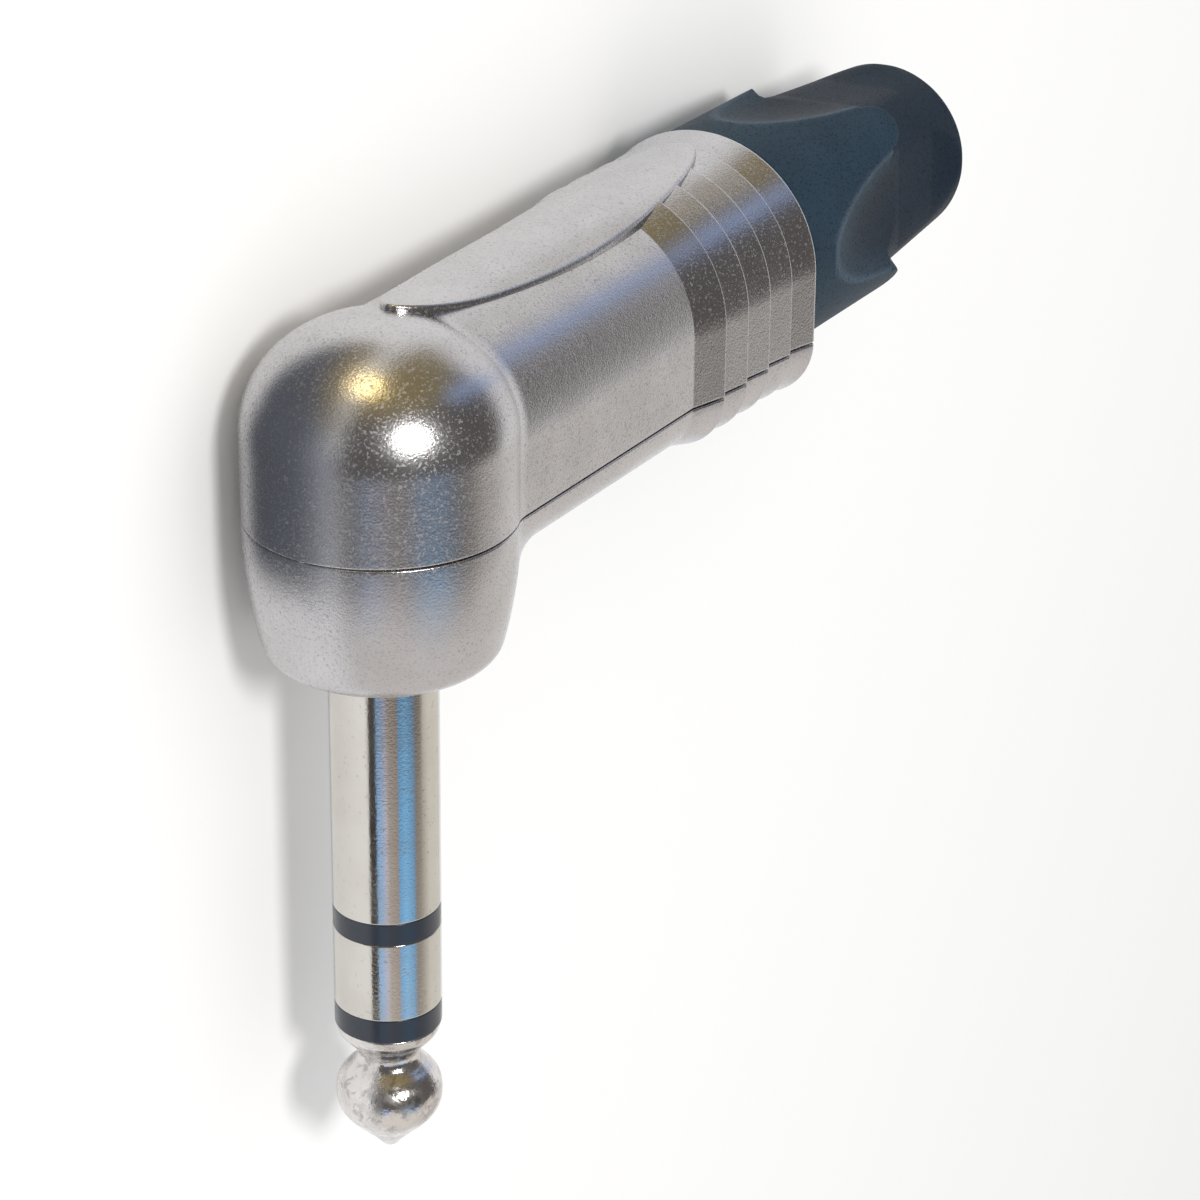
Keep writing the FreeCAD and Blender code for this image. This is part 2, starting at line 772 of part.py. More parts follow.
# Gland nut: a threaded nose with a cone for the jaws, a collar and a grooved
# skirt that the boot is moulded on
thread_radius = nut_bore - size("thread_gap")
thread_end = rim - size("neck_relief")
neck_radius = thread_radius - size("neck_relief")
collar_end = boot_front + size("collar_length")
skirt_end = collar_end + size("skirt_length")
taper = (chuck_radius - size("jaw_end_radius")) / (chuck_end - jaw_start)
cone_front = chuck_radius - taper * (nut_front - jaw_start) + size("jaw_gap")
cone_end = chuck_end + size("jaw_room")
cone_back = size("jaw_end_radius") - taper * size("jaw_room") + size("jaw_gap")
land = (size("skirt_length") - size("groove_width") * SKIRT_GROOVES) / (SKIRT_GROOVES + 1)
skirt = [(collar_end, size("skirt_radius"))]
for number in range(SKIRT_GROOVES):
    start = collar_end + land * (number + 1) + size("groove_width") * number
    skirt += [
        (start, size("skirt_radius")),
        (start, size("skirt_radius") - size("groove_depth")),
        (start + size("groove_width"), size("skirt_radius") - size("groove_depth")),
        (start + size("groove_width"), size("skirt_radius")),
    ]
skirt.append((skirt_end, size("skirt_radius")))
gland_nut = turned("gland_nut", [
    (nut_front, cone_front),
    (nut_front, thread_radius),
    (thread_end, thread_radius),
    (thread_end, neck_radius),
    (boot_front, neck_radius),
    (boot_front, (boot_radius - size("collar_cover"))),
    (collar_end, (boot_radius - size("collar_cover"))),
    *skirt,
    (skirt_end, size("skirt_bore")),
    (cone_end, size("skirt_bore")),
    (cone_end, cone_back),
], "H_Axis", axis_height)

# Boot: a round foot whose rim runs out in four petals between long scoops,
# and a tapered tail for the cable
boot_end = boot_front + size("boot_length")
petal_end = boot_front + size("petal_length")
boot_form = turned("boot_form", [
    (skirt_end, size("cable_radius")),
    (skirt_end, size("skirt_bore")),
    (boot_front, size("skirt_bore")),
    (boot_front, boot_radius),
    (petal_end, boot_radius),
    (petal_end, size("tail_radius") + size("tail_taper")),
    (boot_end, size("tail_radius")),
    (boot_end, size("cable_radius")),
], "H_Axis", axis_height, size("boot_turn"))


def ends_tail(edge):
    """Whether an edge is the outer one at the boot's cable end."""
    middle = (size("cable_radius").value + size("tail_radius").value) / 2
    points = along(edge)
    return points and all(abs(p.x - boot_end.value) < 0.01 and math.hypot(p.y, p.z) > middle for p in points)


round_edges(boot_form, ends_tail, size("tail_round"), "tail_round")
scoop = sketch(boot_form, "scoop_section", "YZ_Plane", boot_front + size("scoop_centre"))
reach = size("scoop_floor") + size("scoop_round")
circle = scoop.addGeometry(Part.Circle(FreeCAD.Vector(reach.value, 0, 0), FreeCAD.Vector(0, 0, 1),
                                       size("scoop_round").value))
pin_point(scoop, circle, 3, (reach, 0))
dimension(scoop, "Radius", size("scoop_round"), circle)
swing = size("scoop_floor") + size("scoop_sweep")
half_spindle = size("scoop_round").value
spindle = scoop.addGeometry(Part.LineSegment(FreeCAD.Vector(swing.value, -half_spindle, 0),
                                             FreeCAD.Vector(swing.value, half_spindle, 0)), True)
pin_point(scoop, spindle, 1, (swing, -size("scoop_round")))
pin_point(scoop, spindle, 2, (swing, size("scoop_round")))
scoop_cut = boot_form.newObject("PartDesign::Groove", "scoop")
scoop_cut.Profile = scoop
scoop_cut.ReferenceAxis = (scoop, ["Axis0"])
scoop_cut.Angle = 360
doc.recompute()
scoops = boot_form.newObject("PartDesign::PolarPattern", "scoops")
scoops.Originals = [scoop_cut]
scoops.Axis = (next(f for f in boot_form.Origin.OriginFeatures if f.Role == "X_Axis"), [""])
scoops.Angle = 360
scoops.Occurrences = SCOOPS
boot_form.Tip = scoops
boot = cut("boot", boot_form, gland_nut)

PARTS = [
    upper_shell, lower_shell,
    plug_sleeve, sleeve_insulator, ring_contact, ring_insulator, tip_contact,
    sleeve_tag, contact_holder, ring_tag, tag_washer, tip_tag, insulating_liner,
    cable_chuck, gland_nut, boot,
]

doc.recompute()
for item in doc.Objects:
    if "Invalid" in item.State or "Error" in item.State:
        raise RuntimeError(f"{item.Label} did not build")
for part in PARTS:
    shape = part.Shape
    if shape.isNull() or not shape.isValid() or len(shape.Solids) != 1:
        raise RuntimeError(f"{part.Label} is not one valid solid")

os.makedirs("parts", exist_ok=True)
for part in PARTS:
    part.Shape.exportStep(f"parts/{part.Label}.step")
    print(f"{part.Label}: {part.Shape.Volume:.1f} mm3")
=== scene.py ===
"""The looks of a right-angle stereo jack plug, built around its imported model.

The object lies on its side with +Z up. The finger points along -Y, the barrel
and the boot run along +X, and the barrel's axis is 13 mm above the shoulder.
Sizes are in millimetres until a mesh is made, which is in metres.
"""
import bmesh
import bpy
import numpy as np
from mathutils import Matrix, Vector


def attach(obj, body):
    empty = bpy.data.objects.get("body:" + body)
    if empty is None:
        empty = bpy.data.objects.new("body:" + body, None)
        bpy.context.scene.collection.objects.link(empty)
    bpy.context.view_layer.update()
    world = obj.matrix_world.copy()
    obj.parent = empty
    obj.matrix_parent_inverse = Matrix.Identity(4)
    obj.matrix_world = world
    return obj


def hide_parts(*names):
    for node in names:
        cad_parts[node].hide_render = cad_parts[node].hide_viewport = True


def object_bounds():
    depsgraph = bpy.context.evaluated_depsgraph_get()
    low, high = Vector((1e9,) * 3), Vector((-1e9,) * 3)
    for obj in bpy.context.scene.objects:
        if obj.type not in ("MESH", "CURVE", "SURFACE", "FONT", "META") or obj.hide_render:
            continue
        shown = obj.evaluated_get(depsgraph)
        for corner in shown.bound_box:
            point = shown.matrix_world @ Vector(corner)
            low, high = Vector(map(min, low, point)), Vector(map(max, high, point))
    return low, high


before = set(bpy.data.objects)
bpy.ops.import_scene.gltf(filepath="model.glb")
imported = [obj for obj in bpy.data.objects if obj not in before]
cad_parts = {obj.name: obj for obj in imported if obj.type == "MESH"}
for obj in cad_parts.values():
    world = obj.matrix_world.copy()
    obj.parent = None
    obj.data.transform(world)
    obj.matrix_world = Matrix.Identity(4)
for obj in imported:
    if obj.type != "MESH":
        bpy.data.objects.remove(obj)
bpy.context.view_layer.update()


# Camera, at the place it had for the photograph: in front of the finger's
# left side and above, turned so that the finger points down in the picture.
MM = 0.001
scene = bpy.context.scene
right = Vector((0.50885, 0.01017, 0.86079)).normalized()
forward = Vector((0.78474, -0.41657, -0.45897)).normalized()
above = right.cross(forward).normalized()
stand = (-163.285 * MM, 93.493 * MM, 109.626 * MM)
focal_pixels, picture_pixels = 3853.1, 1200
lens = bpy.data.cameras.new("photo_camera")
lens.sensor_width = 36.0
lens.lens = focal_pixels / picture_pixels * lens.sensor_width
lens.clip_start = 0.005
lens.clip_end = 20.0
camera = bpy.data.objects.new("photo_camera", lens)
scene.collection.objects.link(camera)
camera.matrix_world = Matrix((
    (right.x, above.x, -forward.x, stand[0]),
    (right.y, above.y, -forward.y, stand[1]),
    (right.z, above.z, -forward.z, stand[2]),
    (0, 0, 0, 1)))
scene.camera = camera
scene.view_settings.view_transform = "Standard"


# Contact finger: three contacts turned from brass and plated with polished
# nickel, and two moulded rings between them, all flush at 6.35 mm across.
class Mask:
    """A shader value in an expression: each operator adds its Math node."""

    def __init__(self, nodes, socket):
        self.nodes = nodes
        self.socket = socket

    def __add__(self, other):
        return self.nodes.maths("ADD", self, other)

    __radd__ = __add__

    def __sub__(self, other):
        return self.nodes.maths("SUBTRACT", self, other)

    def __rsub__(self, other):
        return self.nodes.maths("SUBTRACT", other, self)

    def __mul__(self, other):
        return self.nodes.maths("MULTIPLY", self, other)

    __rmul__ = __mul__

    def ramp(self, low, high):
        """0 below low, 1 above high, and smooth between."""
        node = self.nodes.node("MapRange", {"interpolation_type": "SMOOTHSTEP"},
                               Value=self, From_Min=low, From_Max=high)
        return Mask(self.nodes, node.outputs[0])

    def within(self, low, high, soft):
        """1 between low and high, and soft wide at each end."""
        return self.ramp(low - soft, low) * (1 - self.ramp(high, high + soft))


class Nodes:
    """A node tree, and the one way in which its nodes are made."""

    def __init__(self, tree):
        self.tree = tree

    def node(self, kind, settings, **sockets):
        """A node of a kind: its settings first, where stops are a ramp's
        places and colours, then what its sockets hold. _0 is the first."""
        made = self.tree.nodes.new("ShaderNode" + kind)
        for name, value in settings.items():
            if name == "stops":
                stops = made.color_ramp.elements
                stops.remove(stops[1])
                for number, (place, colour) in enumerate(value):
                    stop = stops.new(place) if number else stops[0]
                    stop.position = place
                    stop.color = colour
            else:
                setattr(made, name, value)
        for name, value in sockets.items():
            socket = int(name[1:]) if name[0] == "_" else name.replace("_", " ")
            self.feed(made.inputs[socket], value)
        return made

    def feed(self, socket, value):
        """Links a mask or a socket, or sets a fixed value."""
        if isinstance(value, Mask):
            value = value.socket
        if isinstance(value, bpy.types.NodeSocket):
            self.tree.links.new(value, socket)
        else:
            socket.default_value = value

    def maths(self, operation, *values):
        numbered = {f"_{number}": value for number, value in enumerate(values)}
        return Mask(self, self.node("Math", {"operation": operation}, **numbered).outputs[0])

    def mix(self, share, first, second):
        """The first colour, going over into the second as share goes to 1."""
        made = self.node("Mix", {"data_type": "RGBA"}, _0=share, _6=first, _7=second)
        return made.outputs[2]


class Finish(Nodes):
    """A material with one Principled shader."""

    def __init__(self, name, **fixed):
        self.material = bpy.data.materials.new(name)
        self.material.use_nodes = True
        super().__init__(self.material.node_tree)
        self.shader = self.tree.nodes["Principled BSDF"]
        self.where = self.node("TexCoord", {}).outputs["Object"]
        self.give(**fixed)

    def give(self, **sockets):
        """Gives the shader's sockets numbers, colours or masks."""
        for name, value in sockets.items():
            self.feed(self.shader.inputs[name.replace("_", " ")], value)

    def noise(self, size_mm, detail=2.0, roughness=0.5, stretch=(1, 1, 1), distortion=0.0):
        """Noise with features about size_mm across, from 0 to 1."""
        placed = self.node("Mapping", {}, Vector=self.where, Scale=stretch)
        made = self.node("TexNoise", {}, Vector=placed.outputs[0], Scale=1 / MM / size_mm,
                         Detail=detail, Roughness=roughness, Distortion=distortion)
        return Mask(self, made.outputs[0])

    def place_mm(self):
        """The point's own place in the object, as three masks in millimetres."""
        parts = self.node("SeparateXYZ", {}, Vector=self.where)
        return [Mask(self, parts.outputs[axis]) * (1 / MM) for axis in range(3)]

    def bump(self, height, depth_mm, strength=1.0):
        """A relief in the light alone, depth_mm high where height is 1."""
        made = self.node("Bump", {}, Height=height, Distance=depth_mm * MM, Strength=strength)
        self.give(Normal=made.outputs[0])

    def put_on(self, *pieces):
        for piece in pieces:
            piece.data.materials.clear()
            piece.data.materials.append(self.material)


def skin(name, grids):
    """One closed mesh from grids of points. Each grid is an array of rows by
    columns by x, y, z in millimetres, and each cell of it becomes a face; the
    grids' common edges are merged and all faces turned outwards."""
    points, faces, start = [], [], 0
    for grid in grids:
        rows, columns, _ = grid.shape
        index = start + np.arange(rows * columns).reshape(rows, columns)
        corners = [index[:-1, :-1], index[:-1, 1:], index[1:, 1:], index[1:, :-1]]
        faces.append(np.stack(corners, -1).reshape(-1, 4))
        points.append(grid.reshape(-1, 3))
        start += rows * columns
    mesh = bpy.data.meshes.new(name)
    mesh.from_pydata(np.concatenate(points) * MM, [], np.concatenate(faces).tolist())
    shape = bmesh.new()
    shape.from_mesh(mesh)
    merged_within = 0.0005 * MM
    bmesh.ops.remove_doubles(shape, verts=shape.verts, dist=merged_within)
    bmesh.ops.dissolve_degenerate(shape, edges=shape.edges, dist=merged_within)
    bmesh.ops.recalc_face_normals(shape, faces=shape.faces)
    shape.to_mesh(mesh)
    shape.free()
    mesh.shade_smooth()
    piece = bpy.data.objects.new(name, mesh)
    scene.collection.objects.link(piece)
    return piece


def softened(corners, steps=6):
    """A closed outline through (along, out, rounding) corners: each corner is
    an arc tangent to its two sides, which takes less than half of either, and
    a point just outside each arc keeps the flats flat."""
    most_of_side, flat_point = 0.45, 0.04
    path = []
    for number, (along, out, rounding) in enumerate(corners):
        here = np.array([along, out], float)
        before = np.array(corners[number - 1][:2], float) - here
        after = np.array(corners[(number + 1) % len(corners)][:2], float) - here
        reach_before, reach_after = np.linalg.norm(before), np.linalg.norm(after)
        before, after = before / reach_before, after / reach_after
        turn = np.pi - np.arccos(np.clip(before @ after, -1, 1))
        if rounding <= 0 or turn < 1e-3:
            path.append(here)
            continue
        cut = min(rounding * np.tan(turn / 2), most_of_side * reach_before, most_of_side * reach_after)
        radius = cut / np.tan(turn / 2)
        start, end = here + before * cut, here + after * cut
        centre = here + (before + after) / np.linalg.norm(before + after) * np.hypot(radius, cut)
        angle = np.linspace(-turn / 2, turn / 2, steps + 1)[:, None]
        middle = (here - centre) / np.linalg.norm(here - centre)
        side = (end - start) / np.linalg.norm(end - start)
        flat_before, flat_after = (min(flat_point, 0.3 * reach) for reach in (reach_before, reach_after))
        if flat_before + cut < reach_before / 2:
            path.append(start + before * flat_before)
        path.extend(centre + radius * (middle * np.cos(angle) + side * np.sin(angle)))
        if flat_after + cut < reach_after / 2:
            path.append(end + after * flat_after)
    path.append(path[0])
    return np.array(path)


def turned(name, outline):
    """A piece turned about the finger's axis: each (y, radius) point of its
    outline goes round as a ring."""
    turn = np.linspace(0, 2 * np.pi, 145)
    along, out = outline[:, :1], outline[:, 1:]
    return skin(name, [np.stack([out * np.cos(turn), along + 0 * turn, out * np.sin(turn)], -1)])


finger_r, band_r, fit = 3.175, 3.165, 0.02
sleeve_end, ring_start, ring_end, tip_start = -15.7, -17.1, -22.1, -23.6
sleeve_back, first_back, ring_back, second_back = 3.8, 4.3, 6.0, 6.6
spigot_r, flange_r, sleeve_bore_r = 3.6, 4.9, 2.45
ring_tube_r, ring_bore_r, rod_r, rivet_r = 2.05, 1.57, 1.15, 1.9
sleeve = turned("finger_sleeve", softened([
    (0.4, finger_r, 0.02), (sleeve_end, finger_r, 0.05), (sleeve_end, sleeve_bore_r, 0.05),
    (sleeve_back, sleeve_bore_r, 0.05), (sleeve_back, spigot_r, 0.05), (3.0, spigot_r, 0),
    (3.0, flange_r, 0.05), (2.2, flange_r, 0.05), (2.2, spigot_r, 0), (0.4, spigot_r, 0.05)]))
ring = turned("finger_ring", softened([
    (ring_start, finger_r, 0.05), (ring_end, finger_r, 0.05), (ring_end, ring_bore_r, 0.05),
    (ring_back, ring_bore_r, 0.05), (ring_back, ring_tube_r, 0.05), (ring_start, ring_tube_r, 0)]))


def tip_outline():
    """The tip's half outline from its collar, as (y, radius): a short land,
    a chamfer and a small step to the waisted neck, the bulb that swells from
    it and a cone with a blunt point. A cubic runs through the listed points."""
    y = np.array([
        -23.6, -23.63, -23.9, -24.15, -24.4, -24.65, -24.85, -24.90, -25.0, -25.2,
        -25.5, -25.8, -26.05, -26.3, -26.6, -26.9, -27.25, -27.65, -28.05, -28.5,
        -29.0, -29.45, -29.85, -30.3, -30.75, -31.3, -31.85, -32.15, -32.32, -32.38])
    r = np.array([
        3.03, 3.08, 3.07, 2.99, 2.84, 2.62, 2.42, 2.32, 2.22, 2.09,
        1.96, 1.89, 1.91, 2.03, 2.29, 2.58, 2.85, 3.05, 3.14, 3.155,
        3.10, 2.95, 2.71, 2.34, 1.87, 1.29, 0.76, 0.50, 0.28, 0.0])
    travel = np.concatenate([[0], np.cumsum(np.hypot(np.diff(y), np.diff(r)))])
    fine = np.linspace(0, travel[-1], 220)
    cell = np.clip(np.searchsorted(travel, fine) - 1, 0, len(travel) - 2)
    width = travel[cell + 1] - travel[cell]
    t = (fine - travel[cell]) / width
    blend = (2 * t**3 - 3 * t**2 + 1, t**3 - 2 * t**2 + t, 3 * t**2 - 2 * t**3, t**3 - t**2)

    def curve(value):
        slope = np.gradient(value, travel)
        return (blend[0] * value[cell] + blend[1] * width * slope[cell]
                + blend[2] * value[cell + 1] + blend[3] * width * slope[cell + 1])
    return np.stack([curve(y), np.maximum(curve(r), 0)], -1)


rod_and_rivet = [(7.6, 0.0), (7.6, rod_r), (7.0, rivet_r), (7.0, rod_r), (tip_start, rod_r)]
tip = turned("finger_tip", np.concatenate([rod_and_rivet, tip_outline()]))

contact = Finish("polished_nickel", Metallic=1.0)
haze = contact.noise(2.5, 3).ramp(0.35, 0.75)
turning = contact.noise(0.05, 2, stretch=(0.02, 1, 0.02))
specks = contact.noise(0.30, 2).ramp(0.64, 0.72)
dimples = contact.noise(0.16, 2, 0.6)
contact.give(Roughness=haze * 0.04 + turning * 0.03 + specks * 0.10 + 0.09,
             Base_Color=contact.mix(specks * 0.5 + haze * 0.2, (0.63, 0.61, 0.575, 1),
                                    (0.46, 0.43, 0.39, 1)))
contact.bump(turning * 0.3 + dimples, 0.0045)
worn = Finish("worn_nickel", Metallic=1.0)
haze = worn.noise(1.1, 3, 0.6, distortion=0.6).ramp(0.35, 0.65)
dents = worn.noise(0.55, 3, 0.6)
blotch = worn.noise(0.9, 3, 0.65, distortion=0.4).ramp(0.54, 0.64)
plate = worn.mix(haze * 0.5, (0.72, 0.70, 0.69, 1), (0.52, 0.50, 0.48, 1))
worn.give(Roughness=haze * 0.16 + dents * 0.10 + 0.10,
          Base_Color=worn.mix(blotch * 0.55, plate, (0.30, 0.28, 0.29, 1)))
worn.bump(dents + worn.noise(0.18, 2) * 0.4, 0.028)
contact.put_on(sleeve, ring)
worn.put_on(tip)
for piece, node in ((sleeve, "plug_sleeve"), (ring, "ring_contact"), (tip, "tip_contact")):
    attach(piece, "housing")
    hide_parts(node)

first_band = turned("finger_first_band", softened([
    (sleeve_end, band_r, 0.06), (ring_start, band_r, 0.06), (ring_start, ring_tube_r + fit, 0),
    (first_back, ring_tube_r + fit, 0), (first_back, sleeve_bore_r - fit, 0),
    (sleeve_end, sleeve_bore_r - fit, 0)]))
second_band = turned("finger_second_band", softened([
    (ring_end, band_r, 0.06), (tip_start, band_r, 0.06), (tip_start, rod_r + fit, 0),
    (second_back, rod_r + fit, 0), (second_back, ring_bore_r - fit, 0), (ring_end, ring_bore_r - fit, 0)]))
band = Finish("band_plastic", Base_Color=(0.020, 0.026, 0.038, 1))
band.give(Roughness=band.noise(0.8, 3).ramp(0.3, 0.8) * 0.12 + 0.16)
band.bump(band.noise(0.25, 2), 0.002)
for piece, node in ((first_band, "sleeve_insulator"), (second_band, "ring_insulator")):
    band.put_on(piece)
    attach(piece, "housing")
    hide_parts(node)


# Housing: two zinc die castings with satin nickel plate, the upper with the
# dome and the barrel's round top, the lower with the finger's cup and a tray.
SEAM, SEAM_GAP, SEAM_ROUND, AXIS = 8.65, 0.055, 0.09, 13.0
BARREL, ELBOW = 7.05, 7.8
CHAMBER, THREAD_BORE, THREAD_START = 5.6, 6.2, 28.2
RIBS = 22.8 + 2.76 * np.arange(6)
RIBBED_FROM = 21.0


def dome(x, y, z, inset=0.0):
    """Distance outside the dome: an upright cylinder, a round shoulder and a
    flatter crown, each tangent to the next."""
    shoulder, rise, spring = 6.0, 6.7, 13.75
    out, step = np.hypot(x, z), ELBOW - shoulder
    crown = (step**2 + rise**2 - shoulder**2) / (2 * (rise - shoulder))
    centre = spring + rise - crown
    on_crown = np.arctan2(out, y - centre) < np.arctan2(step, spring - centre)
    side = np.where(y < spring, out - ELBOW, np.hypot(out - step, y - spring) - shoulder)
    return np.where(on_crown & (y > spring), np.hypot(out, y - centre) - crown, side) + inset


def cup(x, y, z):
    """Distance outside the cup: a bulged flank from its flat foot to the
    elbow's radius at the seam, and a rounding between foot and flank."""
    foot_r, bulge, rounding = 6.53, 29.5, 1.3
    low, high = np.array([foot_r, 0.0]), np.array([ELBOW, SEAM])
    middle, run = (low + high) / 2, high - low
    length = np.hypot(*run)
    aside = np.array([-run[1], run[0]]) / length
    centre = middle + aside * np.sqrt(bulge**2 - length**2 / 4)
    flank = np.hypot(np.hypot(x, z) - centre[0], y - centre[1]) - bulge + rounding
    foot = rounding - y
    corner = np.hypot(np.maximum(flank, 0), np.maximum(foot, 0))
    return np.minimum(np.maximum(flank, foot), 0) + corner - rounding


def round_top(y, z, grow):
    """Distance outside the barrel's top: upright sides and a half circle."""
    return np.where(y < AXIS, np.abs(z), np.hypot(y - AXIS, z)) - BARREL - grow


def tray(y, z, grow):
    """Distance outside the barrel's tray: a flat floor with round corners."""
    depth = 3.0 + grow
    flat = BARREL + grow - depth
    below = SEAM - y
    return np.where(np.abs(z) > flat, np.hypot(np.abs(z) - flat, below), below) - depth


def bore(x, y, z):
    """Distance outside the barrel's bore, which is wider for the thread."""
    return np.hypot(y - AXIS, z) - np.where(x < THREAD_START, CHAMBER, THREAD_BORE)


def rolled(first, second, radius, place):
    """Union of two forms with a ball of the radius rolled along their crease.
    The two distances and the angle between their slopes give the distance
    to the ball's centre line."""
    tiny = 1e-4
    x, y, z = place

    def both(x, y, z):
        return np.stack([first(x, y, z), second(x, y, z)])
    here = both(x, y, z)
    slopes = np.stack([both(x + tiny, y, z) - here, both(x, y + tiny, z) - here,
                       both(x, y, z + tiny) - here]) / tiny
    slopes = slopes / np.maximum(np.linalg.norm(slopes, axis=0), 1e-9)
    lean = np.clip((slopes[:, 0] * slopes[:, 1]).sum(0), -0.99, 0.999)
    a, b = radius - here[0], radius - here[1]
    reach = np.sqrt(np.maximum(a * a + b * b - 2 * a * b * lean, 0) / (1 - lean * lean))
    between = (a - lean * b > 0) & (b - lean * a > 0)
    return np.where(between, radius - reach, here.min(0))


def ray_grid(rows, angles, inside):
    """For each row (x, grow) and each angle about the seam line's middle, the
    point where the form ends, found by halving between the middle and a place
    well outside: rows by angles by x, y, z."""
    well_outside, halvings = 16.0, 34
    x = rows[:, :1] + 0 * angles
    grow = rows[:, 1:] + 0 * angles
    cosine, sine = np.cos(angles) + 0 * x, np.sin(angles) + 0 * x
    low, high = np.zeros_like(x), np.full_like(x, well_outside)
    for _ in range(halvings):
        middle = (low + high) / 2
        within = inside(x, SEAM + middle * sine, middle * cosine, grow) < 0
        low, high = np.where(within, middle, low), np.where(within, high, middle)
    return np.stack([x, SEAM + low * sine, low * cosine], -1)


def half_turn(line):
    """The half revolve behind x = 0 of a section's line, which is symmetric:
    rows round from one side to the other, columns from the seam to the pole."""
    profile = line[: (len(line) + 1) // 2]
    turn = np.linspace(np.pi / 2, 3 * np.pi / 2, 73)[:, None]
    out = np.abs(profile[:, 2])
    return np.stack([out * np.cos(turn), profile[:, 1] + 0 * turn, out * np.sin(turn)], -1)


def edge_rounding(grid):
    """Rolls the form inwards at the seam: a quarter round above the gap that
    the two castings leave."""
    height = np.abs(grid[..., 1] - SEAM) - SEAM_GAP
    near = np.clip(1 - np.maximum(height, 0) / SEAM_ROUND, 0, 1)
    drop = SEAM_ROUND * (1 - np.sqrt(1 - near**2))
    middle = np.stack([grid[..., 0], np.full_like(height, SEAM), 0 * height], -1)
    away = grid - middle
    reach = np.linalg.norm(away, axis=-1, keepdims=True)
    return middle + away * (1 - drop[..., None] / reach)


def casting(name, rows, angles, outside, inside):
    """One casting as a closed skin: its outer and inner walls, the half
    revolves behind x = 0, the faces on the seam and the face at the rim."""
    outer = ray_grid(rows, angles, outside)
    inner = ray_grid(rows * [1, 0], angles, inside)
    back_outer, back_inner = half_turn(outer[0]), half_turn(inner[0])
    outer, back_outer = edge_rounding(outer), edge_rounding(back_outer)
    share = np.linspace(0, 1, 3)[:, None, None]

    def between(first, second):
        return first * (1 - share) + second * share
    return skin(name, [
        outer, inner, back_outer, back_inner,
        between(outer[:, 0], inner[:, 0]), between(outer[:, -1], inner[:, -1]),
        between(back_outer[:, 0], back_inner[:, 0]), between(outer[-1], inner[-1])])


def spaced(start, *spans):
    """Places from start on, through spans of (end, number of places)."""
    places = [np.array([start], float)]
    for end, count in spans:
        places.append(np.linspace(start, end, count)[1:])
        start = end
    return np.concatenate(places)


def filled(path, step):
    """The same path with its long runs divided into lengths of about step."""
    runs = [path[:1]]
    for start, end in zip(path[:-1], path[1:]):
        count = max(1, int(np.ceil(np.hypot(*(end - start)) / step)))
        runs.append(start + (end - start) * np.linspace(0, 1, count + 1)[1:, None])
    return np.concatenate(runs)


def ribbed_rows(plain_rows):
    """Rows along the barrel as (x, growth): plain up to the ribs, then five
    teeth that swell to a crest, round over it and drop to the next one's foot."""
    crest, foot, last_crest, under_rim = 0.72, 0.30, 0.97, -0.8
    corners = [(RIBBED_FROM, 0.0, 0), (RIBS[0], 0.0, 0.5)]
    for x in RIBS[1:-1]:
        corners += [(x, crest, 0.17), (x, foot, 0.07)]
    corners += [(RIBS[-1], last_crest, 0.24), (RIBS[-1], under_rim, 0.07), (20.0, under_rim, 0)]
    path = softened(corners, 5)[:-1]
    path = path[(path[:, 1] > -0.2) & (path[:, 0] > RIBBED_FROM - 0.1)]
    return np.concatenate([np.stack([plain_rows, 0 * plain_rows], -1), filled(path, 0.45)])


def top_outside(x, y, z, grow):
    """The dome and the barrel's round top, rolled together."""
    crease = 2.6
    return rolled(dome, lambda x, y, z: round_top(y, z, grow), crease, (x, y, z))


def top_inside(x, y, z, grow):
    """The bore, and the dome less its wall."""
    dome_wall = 1.4
    return np.minimum(dome(x, y, z, dome_wall), bore(x, y, z))


def low_outside(x, y, z, grow):
    """The cup and the barrel's tray, rolled together."""
    crease = 2.4
    return rolled(cup, lambda x, y, z: tray(y, z, grow), crease, (x, y, z))


def low_inside(x, y, z, grow):
    """The bore, and the cup's well, which widens above the flange."""
    well_floor, widens_from, slope, widest = 2.2, 5.4, 0.8, 6.4
    well_r = np.clip(CHAMBER + (y - widens_from) * slope, CHAMBER, widest)
    well = np.maximum(np.hypot(x, z) - well_r, well_floor - y)
    return np.minimum(well, bore(x, y, z))


seam_reach = 7.4
seam_steps = (SEAM_GAP + np.array([0, 0.012, 0.03, 0.052, 0.08, 0.12, 0.2])) / seam_reach
quarter = np.concatenate([seam_steps, np.linspace(0.035, np.pi / 2, 64)[1:]])
around = np.concatenate([quarter, np.pi - quarter[-2::-1]])
top_rows = ribbed_rows(spaced(0, (1.8, 8), (8.4, 66), (RIBBED_FROM, 12))[:-1])
low_rows = ribbed_rows(spaced(0, (4.6, 14), (11.0, 84), (RIBBED_FROM, 9))[:-1])
upper = casting("upper_casting", top_rows, around, top_outside, top_inside)
lower = casting("lower_casting", low_rows, -around, low_outside, low_inside)

# Raised oval on the barrel's top, cast with the dome: a crowned face that
# swells towards the rim, with an upright wall and a small round at its edge.
PAD_MIDDLE, PAD_LENGTH, PAD_WIDTH, PAD_ROUND = 17.5, 33.2, 6.9, 0.18


